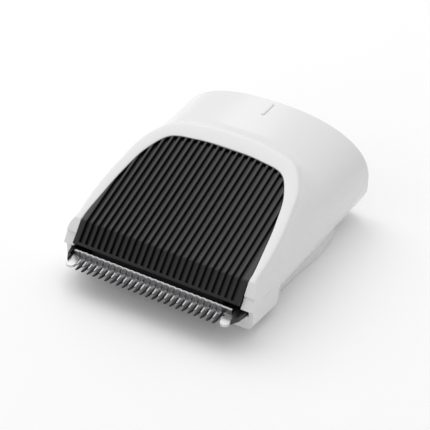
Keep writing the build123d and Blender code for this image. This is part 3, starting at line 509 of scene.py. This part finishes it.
def front_wall():
    """Low wall across the front of the block, higher at both ends; it runs a little into the shell."""
    half = half_width(SHELL_FRONT) - BLOCK_WALL + 0.05
    foot = BLOCK_Z + BLOCK_WALL - 0.1
    section = [
        (-half, SILL_END_Z), (-SILL_END_X, SILL_END_Z), (-SILL_END_X, SILL_Z), (SILL_END_X, SILL_Z),
        (SILL_END_X, SILL_END_Z), (half, SILL_END_Z), (half, foot), (-half, foot),
    ]
    n = len(section)
    verts = [(x, y, z) for y in (SHELL_FRONT + 0.02, SHELL_FRONT + BLOCK_WALL) for x, z in section]
    faces = [(i, (i + 1) % n, n + (i + 1) % n, n + i) for i in range(n)]
    faces += [tuple(range(n))[::-1], tuple(range(n, 2 * n))]
    return new_mesh("case_front_wall", verts, faces)


# ---- belly cover --------------------------------------------------------------------------------
def tray_under(x, y):
    """Height of the tray's outside at a point under it."""
    half, r = half_width(y), TRAY_CORNER
    over = np.clip(np.abs(x) - (half - r), 0, r)
    return TRAY_Z + r - np.sqrt(r * r - over * over)


def belly_cover():
    """Flared foot under the tray with a rounded lower edge."""
    side = hermite([BELLY_CORNER[-1], *BELLY_SIDE, (0, BELLY_REAR)], (0, 1), (-1, 0))
    x = BELLY_CORNER[0][0]
    turn = [(x - 1.2, BELLY_FRONT), (x + 0.25, BELLY_FRONT + 1.3), BELLY_CORNER[-1]]
    corner = hermite(turn, (1, 0), (0.2, 0.98), 10)
    right = np.vstack([[(0, BELLY_FRONT)], corner, side[1:]])
    loop = resample(np.vstack([right, right[::-1][1:] * (-1, 1)]), 241)[:-1]
    step = np.roll(loop, -1, axis=0) - np.roll(loop, 1, axis=0)
    out = np.stack([step[:, 1], -step[:, 0]], axis=1)
    out /= np.linalg.norm(out, axis=1, keepdims=True)
    middle = np.array([0, (BELLY_FRONT + BELLY_REAR) / 2])

    def ring(inset, z, share=1.0):
        """The outline moved inwards, then drawn together to a share of its size, at the height z."""
        flat = middle + (loop - out * inset - middle) * share
        return np.column_stack([flat, z(*flat.T) if callable(z) else np.full(len(flat), z)])

    # the height at which the flared side meets the tray
    inset, low = np.full((len(loop), 1), BELLY_FLARE), BELLY_FLOOR + BELLY_EDGE
    for _ in range(6):
        meet = tray_under(*(loop - out * inset).T)
        inset = np.clip((meet - BELLY_FLOOR) / BELLY_TALL, 0, 1)[:, None] * BELLY_FLARE
    rings = [ring(inset, tray_under, f) for f in (0.3, 0.6, 0.75, 0.83, 0.88, 0.92, 0.96, 1.0)]
    start = BELLY_EDGE / BELLY_TALL * BELLY_FLARE
    for f in (0.75, 0.5, 0.25, 0.0):
        flat = loop - out * (start + (inset - start) * f)
        rings.append(np.column_stack([flat, low + (meet - low) * f]))
    for a in np.linspace(0, np.pi / 2, 9)[1:]:
        inwards = start * np.cos(a) + BELLY_EDGE * (1 - np.cos(a))
        rings.append(ring(inwards, BELLY_FLOOR + BELLY_EDGE * (1 - sin(a))))
    rings += [ring(BELLY_EDGE, BELLY_FLOOR, f) for f in (0.9, 0.6, 0.3)]
    n = len(loop)
    faces = [
        (k * n + i, (k + 1) * n + i, (k + 1) * n + (i + 1) % n, k * n + (i + 1) % n)
        for k in range(len(rings) - 1) for i in range(n)
    ]
    verts = np.vstack([*rings, [(*middle, TRAY_Z), (*middle, BELLY_FLOOR)]])
    last = (len(rings) - 1) * n
    faces += [(i, (i + 1) % n, len(verts) - 2) for i in range(n)]
    faces += [(last + (i + 1) % n, last + i, len(verts) - 1) for i in range(n)]
    return new_mesh("belly_pad", verts, faces)


# ---- ribbed cover -------------------------------------------------------------------------------
def rib_columns():
    """Positions across the cover, with the depth of each under the crests, in millimetres."""
    columns = []
    for k in range(RIBS // 2):
        middle = RIB_PITCH * (k + 0.5)
        columns += [(middle - x, d) for x, d in RIB_SECTION[:0:-1]]
        columns += [(middle + x, d) for x, d in RIB_SECTION[:-1]]
    edge = RIB_PITCH * (RIBS // 2 + 0.5)
    columns += [(edge - x, d) for x, d in RIB_SECTION[:0:-1]]
    columns += [(x, 0) for x in np.linspace(edge, COVER[0][0] - 0.03, 7)]
    right = np.array(columns)
    left = right[::-1] * (-1, 1)
    return np.vstack([left[:-1], right])


def folded_path(depth, slope_s):
    """Side view: up the steep face, round the fold, then along the slope, at a depth below the crests."""
    steep = np.array([LIP[0] - FOLD[0], LIP[1] - FOLD[1]])
    length = np.linalg.norm(steep)
    steep = steep / length
    slope = np.array([cos(SLOPE), sin(SLOPE)])
    steep_out = np.array([steep[1], -steep[0]])
    slope_out = np.array([-sin(SLOPE), cos(SLOPE)])
    mitre = (steep_out + slope_out) / (1 + steep_out @ slope_out)
    corner = np.array(FOLD) - mitre * depth
    points = [corner + steep * d for d in FOLD_STEPS * length]
    a, c = corner + steep * FOLD_BEND, corner + slope * FOLD_BEND
    for u in np.linspace(0, 1, 7):
        points.append((1 - u) ** 2 * a + 2 * u * (1 - u) * corner + u * u * c)
    points += [corner + slope * s for s in slope_s]
    return np.array(points)


def ribbed_cover():
    """Grid of side view lines, one for each position across the ribs."""
    across = rib_columns()
    right_half = outline(COVER, COVER_LENGTH)
    right_half = right_half[: len(right_half) // 2 + 1]
    ends = np.interp(np.abs(across[:, 0]), right_half[::-1, 0], right_half[::-1, 1])
    share = np.linspace(0, 1, 12)[1:]
    top, under = [], []
    for (x, depth), end in zip(across, ends):
        end = max(end, 1.3)
        rear = [end - 0.42, end - 0.36, end - 0.3, end - 0.24, end - 0.1, end - 0.03, end]
        slope_s = np.concatenate([[0.6], 0.6 + (rear[0] - 0.6) * share[:-1], rear])
        crest = folded_path(0.0, slope_s)
        floor = folded_path(RIB_DEPTH, slope_s)
        sunk = np.full(len(crest), depth / RIB_DEPTH)
        sunk[:7] *= (0, 0, 0, 0, 0.35, 0.75, 1)
        sunk[-6:] *= (1, 0.7, 0.2, 0, 0, 0)
        line = crest + (floor - crest) * sunk[:, None]
        line[-1] -= np.array([-sin(SLOPE), cos(SLOPE)]) * 0.07
        line[0] = (LIP[0] + 0.25, LIP_FLOOR)
        line[1] = (LIP[0] + 0.04, LIP[1] - 0.06)
        top.append([(x, *p) for p in line])
        back = folded_path(COVER_THICK - 0.1, slope_s)
        steep_rows = len(FOLD_STEPS)
        foot, knee = np.array([6.0, LIP_FLOOR]), back[steep_rows + 3]
        back[:steep_rows] = foot + (knee - foot) * np.linspace(0, 0.85, steep_rows)[:, None]
        under.append([(x, *p) for p in back])
    top = np.array(top).transpose(1, 0, 2)
    under = np.array(under).transpose(1, 0, 2)
    return skin("rib_cover", top, under)


# ---- blades -------------------------------------------------------------------------------------
def comb_blade():
    """Comb with sharp-topped teeth and two flat end guards, underside ground to the tips."""
    loop = []
    for k in range(TEETH // 2):
        middle = TOOTH_PITCH * (k + 0.5)
        loop += [(middle - TOOTH_PITCH / 2 + x, *rest) for x, *rest in COMB_TOOTH]
        loop += [(middle + TOOTH_PITCH / 2 - x, *rest) for x, *rest in COMB_TOOTH[::-1]]
    loop += [(GUARD_INNER - 0.02, COMB_ROOT, *COMB_RIM), (GUARD_INNER, GUARD_TIP + 0.1, *COMB_RIM)]
    centre, r = (GUARD_INNER + GUARD_OUTER) / 2, (GUARD_OUTER - GUARD_INNER) / 2
    loop += [
        (centre - r * cos(a), GUARD_TIP - r * sin(a), *COMB_RIM) for a in np.linspace(0.05, np.pi, 15)
    ]
    loop += [(GUARD_OUTER, COMB_REAR, *COMB_RIM)]
    left = [(-x, *rest) for x, *rest in loop[::-1]]
    return plate("comb", np.array(left + loop)[::-1], comb_under, 0.0)


def comb_under(p):
    """Underside of the comb: ground away towards the tips of the teeth."""
    ground = np.clip(p[:, 1] / COMB_BEVEL, 0, 1)
    z = -COMB_TIP - (COMB_THICK - COMB_TIP) * ground
    return np.where(np.abs(p[:, 0]) > GUARD_INNER - 0.4, -COMB_THICK, z)


def inset_loop(loop, d):
    """Closed loop moved inwards; the loop runs anticlockwise."""
    before, after = loop - np.roll(loop, 1, axis=0), np.roll(loop, -1, axis=0) - loop
    before /= np.linalg.norm(before, axis=1, keepdims=True)
    after /= np.linalg.norm(after, axis=1, keepdims=True)
    n1 = np.stack([-before[:, 1], before[:, 0]], axis=1)
    n2 = np.stack([-after[:, 1], after[:, 0]], axis=1)
    mitre = (n1 + n2) / np.maximum(1 + (n1 * n2).sum(axis=1, keepdims=True), 0.35)
    return loop + mitre * d[:, None]


def plate(name, rows, under, top_z):
    """Flat plate from rows (x, y, width of the edge's slope, its drop) round its outline."""
    loop, edge, drop = rows[:, :2], rows[:, 2], rows[:, 3]
    area = 0.5 * np.sum(loop[:, 0] * np.roll(loop[:, 1], -1) - np.roll(loop[:, 0], -1) * loop[:, 1])
    if area < 0:
        loop, edge, drop = loop[::-1], edge[::-1], drop[::-1]
    small = inset_loop(loop, edge)
    foot = inset_loop(loop, np.full(len(loop), 0.04))
    n = len(loop)
    low = under(loop)
    top = np.column_stack([small, np.full(n, top_z)])
    upper = np.column_stack([loop, np.maximum(top_z - drop, low + 0.1)])
    lower = np.column_stack([loop, low + 0.03])
    bottom = np.column_stack([foot, low])
    verts = np.vstack([top, upper, lower, bottom])
    faces = []
    for k in range(3):
        for i in range(n):
            j = (i + 1) % n
            faces.append((k * n + i, (k + 1) * n + i, (k + 1) * n + j, k * n + j))
    for level, ring in ((0, small), (3, foot)):
        for a, b, c in tessellate_polygon([[Vector((*p, 0)) for p in ring]]):
            faces.append((level * n + a, level * n + b, level * n + c))
    return new_mesh(name, verts, faces)


def cutter_height(y):
    """Height over the sliding face at y, without the gaps between the teeth."""
    return np.interp(y, *zip(*CUTTER_SECTION))


def cutter_columns():
    """Lines across the cutter (x, y of its front edge), and where the toothed part starts and ends."""
    columns = []
    for k in range(TEETH):
        middle = TOOTH_PITCH * (k - TEETH / 2 + 0.5) + CUTTER_SHIFT
        left = CUTTER_TOOTH[-2:0:-1] if k else CUTTER_TOOTH[:0:-1]
        columns += [(middle - x, y) for x, y in left]
        columns += [(middle + x, y) for x, y in CUTTER_TOOTH]
    first, last = columns[0][0], columns[-1][0]
    land = [(CUTTER_HALF - d, CUTTER_END) for d in (0, 0.03, 0.1, 0.4, 0.8)]
    left_end = [(-x, y) for x, y in land] + [(first - 0.01, CUTTER_END)]
    right_end = [(last + 0.01, CUTTER_END)] + land[::-1]
    return left_end + columns + right_end, first, last


def cutter_blade():
    """Sliding cutter: pointed spindle teeth, leaf-shaped gaps, wavy ridge and plain end lands."""
    columns, first, last = cutter_columns()
    outline_y, outline_half = [y for _, y in CUTTER_TOOTH[1:]], [x for x, _ in CUTTER_TOOTH[1:]]
    share = np.linspace(0, 1, 14)
    grid = []
    for x, front in columns:
        ys = np.concatenate([front + (CUTTER_FRONT - front) * share, CUTTER_ROWS])
        phase = (x - CUTTER_SHIFT) / TOOTH_PITCH
        toothed = first <= x <= last
        wave = 0.5 + 0.5 * np.cos(2 * np.pi * phase) if toothed else 0.0
        pushed = ys - CUTTER_WAVE * wave * ramp(ys, 3.0, 3.4) * (1 - ramp(ys, 3.75, 4.0))
        z = cutter_height(pushed)
        if toothed:
            # steep flanks on both sides of a narrow flat top
            off = abs((phase - np.floor(phase) - 0.5) * TOOTH_PITCH)
            half = np.interp(ys, outline_y, outline_half)
            flat = np.interp(ys, *zip(*CUTTER_FLAT))
            fall = np.clip((off - flat) / np.maximum(half - flat, 0.02), 0, 1)
            z = z - (z - 0.04) * fall * (1 - ramp(ys, 3.15, CUTTER_FRONT))
        if front == CUTTER_END:
            z[:len(share)] = share**0.8 * (cutter_height(CUTTER_FRONT) - 0.32) + 0.3
        # lowered by up to 0.1 mm at both ends, over the last 0.1 mm
        off = min(abs(abs(x) - CUTTER_HALF), 0.1)
        z = z - 0.1 * (1 - off / 0.1)
        line = [(x, front, 0.0), (x, front, min(z[0] * 0.7, 0.2))]
        line += [(x, y, h) for y, h in zip(ys, z)]
        line += [(x, CUTTER_REAR, CUTTER_LAND_Z - 0.1), (x, CUTTER_REAR, 0.0)]
        grid.append(line)
    grid = np.array(grid).transpose(1, 0, 2)
    rows, cols = grid.shape[:2]
    faces = grid_faces(rows, cols, wrap_rows=True, flip=True)
    faces.append(tuple(i * cols for i in range(rows))[::-1])
    faces.append(tuple(i * cols + cols - 1 for i in range(rows)))
    return new_mesh("cutter", grid.reshape(-1, 3), faces)


# =================================================================================================
# materials
# =================================================================================================
def material(name, color, roughness, noise, scale, bump=0.02, metallic=0.0):
    """Fine noise varies the colour (by the share noise), the roughness and, with bump, the surface."""
    mat = bpy.data.materials.new(name)
    mat.use_nodes = True
    nt = mat.node_tree
    shader = nt.nodes["Principled BSDF"]
    shader.inputs["Metallic"].default_value = metallic
    shader.inputs["IOR"].default_value = 1.5
    coord = nt.nodes.new("ShaderNodeTexCoord")
    tex = nt.nodes.new("ShaderNodeTexNoise")
    tex.inputs["Scale"].default_value = scale
    tex.inputs["Detail"].default_value = 3
    nt.links.new(coord.outputs["Object"], tex.inputs["Vector"])
    mix = nt.nodes.new("ShaderNodeMix")
    mix.data_type = "RGBA"
    mix.inputs["A"].default_value = (*[c * (1 - noise) for c in color], 1)
    mix.inputs["B"].default_value = (*[min(c * (1 + noise), 1) for c in color], 1)
    nt.links.new(tex.outputs["Fac"], mix.inputs["Factor"])
    nt.links.new(mix.outputs["Result"], shader.inputs["Base Color"])
    rough = nt.nodes.new("ShaderNodeMapRange")
    rough.inputs["To Min"].default_value = roughness * 0.9
    rough.inputs["To Max"].default_value = roughness * 1.1
    nt.links.new(tex.outputs["Fac"], rough.inputs["Value"])
    nt.links.new(rough.outputs["Result"], shader.inputs["Roughness"])
    bmp = nt.nodes.new("ShaderNodeBump")
    bmp.inputs["Strength"].default_value = bump
    bmp.inputs["Distance"].default_value = 0.0001
    nt.links.new(tex.outputs["Fac"], bmp.inputs["Height"])
    nt.links.new(bmp.outputs["Normal"], shader.inputs["Normal"])
    return mat


def paint_shade_band(mat, axis, middle, inner, outer, color):
    """Painted shade: darker steel within a band round a coordinate (millimetres), its plain colour beyond
    it.
    """
    nt = mat.node_tree
    socket = nt.nodes["Principled BSDF"].inputs["Base Color"]
    plain = socket.links[0].from_socket
    coord = nt.nodes.new("ShaderNodeTexCoord")
    parts = nt.nodes.new("ShaderNodeSeparateXYZ")
    nt.links.new(coord.outputs["Object"], parts.inputs["Vector"])
    shift = nt.nodes.new("ShaderNodeMath")
    shift.operation = "SUBTRACT"
    shift.inputs[1].default_value = middle / 1000
    nt.links.new(parts.outputs[axis], shift.inputs[0])
    side = nt.nodes.new("ShaderNodeMath")
    side.operation = "ABSOLUTE"
    nt.links.new(shift.outputs["Value"], side.inputs[0])
    span = nt.nodes.new("ShaderNodeMapRange")
    span.interpolation_type = "SMOOTHSTEP"
    span.inputs["From Min"].default_value = inner / 1000
    span.inputs["From Max"].default_value = outer / 1000
    nt.links.new(side.outputs["Value"], span.inputs["Value"])
    mix = nt.nodes.new("ShaderNodeMix")
    mix.data_type = "RGBA"
    mix.inputs["A"].default_value = (*color, 1)
    nt.links.new(span.outputs["Result"], mix.inputs["Factor"])
    nt.links.new(plain, mix.inputs["B"])
    nt.links.new(mix.outputs["Result"], socket)


def paint(obj, mat):
    """Give the object this material alone."""
    obj.data.materials.clear()
    obj.data.materials.append(mat)


def plastic(name, tone, roughness, noise, scale, bump):
    """Moulded plastic; the tone is its colour."""
    return material(name, tone, roughness, noise, scale, bump)


def metal(name, tone, roughness, noise, scale, bump=0.02):
    """Ground, drawn, plated or sintered metal."""
    return material(name, tone, roughness, noise, scale, bump, metallic=1.0)


FINISH = {
    "white_case": plastic("white_gloss", (0.79, 0.79, 0.79), 0.22, 0.006, 2500, 0.015),
    "black_cover": plastic("black_satin", (0.003, 0.003, 0.0031), 0.3, 0.15, 4000, 0.12),
    "black_plastic": plastic("black_plastic", (0.016, 0.016, 0.017), 0.34, 0.1, 3000, 0.08),
    "grey_plastic": plastic("grey_plastic", (0.16, 0.16, 0.17), 0.45, 0.05, 3000, 0.1),
    "polished_steel": metal("polished_steel", (0.62, 0.62, 0.625), 0.4, 0.03, 1500, 0.0),
    "cutter_steel": metal("cutter_steel", (0.42, 0.42, 0.43), 0.27, 0.05, 1500, 0.003),
    "spring_steel": metal("spring_steel", (0.5, 0.5, 0.52), 0.3, 0.05, 3000),
    "screw_steel": metal("screw_steel", (0.6, 0.6, 0.62), 0.25, 0.04, 3000),
    "bronze_bush": metal("bronze_bush", (0.55, 0.36, 0.18), 0.38, 0.12, 5000, 0.15),
}
# painted shade: darker steel where the teeth are, in place of the shade between them and the dark
# surroundings that they reflect: the comb between its guards, the cutter at the height of its front,
# a band that takes in the rear land behind the ridge as well
COMB_PAINTED_SHADE, FRONT_PAINTED_SHADE = (0.07, 0.07, 0.072), (0.15, 0.15, 0.155)
FRONT_SHADE_MIDDLE_Z = 1.1
paint_shade_band(FINISH["polished_steel"], "X", 0, GUARD_INNER - 0.3, GUARD_INNER, COMB_PAINTED_SHADE)
# painted shade on the cutter: a darker band of steel over its hollow-ground front and its rear land
paint_shade_band(FINISH["cutter_steel"], "Z", DATUM[2] + FRONT_SHADE_MIDDLE_Z, 0.45, 0.7, FRONT_PAINTED_SHADE)

# =================================================================================================
# pieces on their bodies
# =================================================================================================
def place(obj, body, slot, *nodes, edge=0.0, angle=35):
    """Shade, round and attach a piece; the nodes are the CAD pieces that it stands for."""
    smooth(obj, angle)
    if edge:
        bevel(obj, edge, angle)
    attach(obj, body)
    if nodes:
        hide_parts(*nodes)
    paint(obj, FINISH[slot])


SLOTS = {row["node"]: row["material_slot"] for row in frame["record"]["subparts"]}
# rounding of the CAD nodes' edges, in millimetres
EDGES = {
    "blade_base": 0.25, "cutter_carrier": 0.12, "drive_lever": 0.15, "inner_frame": 0.12,
    "guide_plate": 0.05, "latch_left": 0.08, "latch_right": 0.08, "spring_keepers": 0.08,
    "retaining_clip": 0.05,
}
for name, node in NODES.items():
    paint(node, FINISH[SLOTS[name]])
    if name in EDGES:
        bevel(node, EDGES[name], 40, weld=True)

place(upper_shell(), HEAD, "white_case", "upper_shell", edge=0.16)
place(alignment_mark(), HEAD, "white_case", angle=60)
place(lower_shell(), HEAD, "white_case", "lower_shell", edge=0.3)
place(front_wall(), HEAD, "white_case", edge=0.15)
place(belly_cover(), HEAD, "white_case", "belly_cover", angle=50)
place(ribbed_cover(), HEAD, "black_cover", "ribbed_cover", angle=50)
place(comb_blade(), HEAD, "polished_steel", "comb_blade")
place(cutter_blade(), "cutter", "cutter_steel", "cutter_blade", edge=0.03)

# =================================================================================================
# studio
# =================================================================================================
TENT_LEAN = (-0.45, 0.55, 0.7)              # direction in which the world is brightest
TENT_FROM, TENT_TO = (-0.35, 0.9), (0.54, 0.74)
LIGHTS = [                                  # name, power in watts, size and place in metres
    ("key", 2.1, 0.7, (-0.35, 0.25, 0.6)),
    ("top", 0.4, 0.35, (0.13, 0.05, 0.75)),
    ("fill", 0.2, 0.5, (-0.45, -0.35, 0.4)),
]
LIGHTS_AIM = (0, 0, 0.01)
FLOOR_SIZE = 4

CAMERA_AZIMUTH, CAMERA_ELEVATION = radians(30.72), radians(37.0)
CAMERA_AIM, CAMERA_DISTANCE = (0.0080, -0.01205, 0.0201), 0.3512
CAMERA_LENS, CAMERA_SENSOR = 138.5, 36


def world():
    """Pale surroundings, brighter behind and to the left, like a tent that is open to one side."""
    tent = bpy.data.worlds.new("studio")
    tent.use_nodes = True
    nt = tent.node_tree
    back = nt.nodes["Background"]
    back.inputs["Color"].default_value = (1, 1, 1, 1)
    coord = nt.nodes.new("ShaderNodeTexCoord")
    lean = nt.nodes.new("ShaderNodeVectorMath")
    lean.operation = "DOT_PRODUCT"
    lean.inputs[1].default_value = Vector(TENT_LEAN).normalized()
    nt.links.new(coord.outputs["Generated"], lean.inputs[0])
    span = nt.nodes.new("ShaderNodeMapRange")
    span.interpolation_type = "SMOOTHSTEP"
    span.inputs["From Min"].default_value, span.inputs["From Max"].default_value = TENT_FROM
    span.inputs["To Min"].default_value, span.inputs["To Max"].default_value = TENT_TO
    nt.links.new(lean.outputs["Value"], span.inputs["Value"])
    nt.links.new(span.outputs["Result"], back.inputs["Strength"])
    scene.world = tent
    scene.view_settings.view_transform = "Standard"


def table_top():
    """White surface that the head rests on."""
    bpy.ops.mesh.primitive_plane_add(size=FLOOR_SIZE, location=(0, 0, 0))
    floor = bpy.context.object
    floor.name = "floor"
    paint(floor, material("floor_white", (0.97, 0.97, 0.97), 0.7, noise=0.0, scale=50, bump=0.0))


def lights():
    """Square area lights that face the head."""
    for name, energy, size, spot in LIGHTS:
        light = bpy.data.lights.new(name, "AREA")
        light.energy = energy
        light.size = size
        lamp = bpy.data.objects.new(name, light)
        lamp.location = spot
        lamp.rotation_euler = (Vector(LIGHTS_AIM) - Vector(spot)).to_track_quat("-Z", "Y").to_euler()
        scene.collection.objects.link(lamp)


def camera():
    """Long lens from the front right, above the table."""
    azimuth, elevation = CAMERA_AZIMUTH, CAMERA_ELEVATION
    right = Vector((cos(azimuth), sin(azimuth), 0))
    back = Vector((sin(azimuth) * cos(elevation), -cos(azimuth) * cos(elevation), sin(elevation)))
    up = back.cross(right)
    cam = bpy.data.objects.new("camera", bpy.data.cameras.new("camera"))
    cam.data.lens = CAMERA_LENS
    cam.data.sensor_width = CAMERA_SENSOR
    cam.data.clip_start = 0.01
    cam.data.clip_end = 10
    turn = Matrix((right, up, back)).transposed().to_4x4()
    cam.matrix_world = Matrix.Translation(Vector(CAMERA_AIM) + back * CAMERA_DISTANCE) @ turn
    scene.collection.objects.link(cam)
    scene.camera = cam


world()
table_top()
lights()
camera()
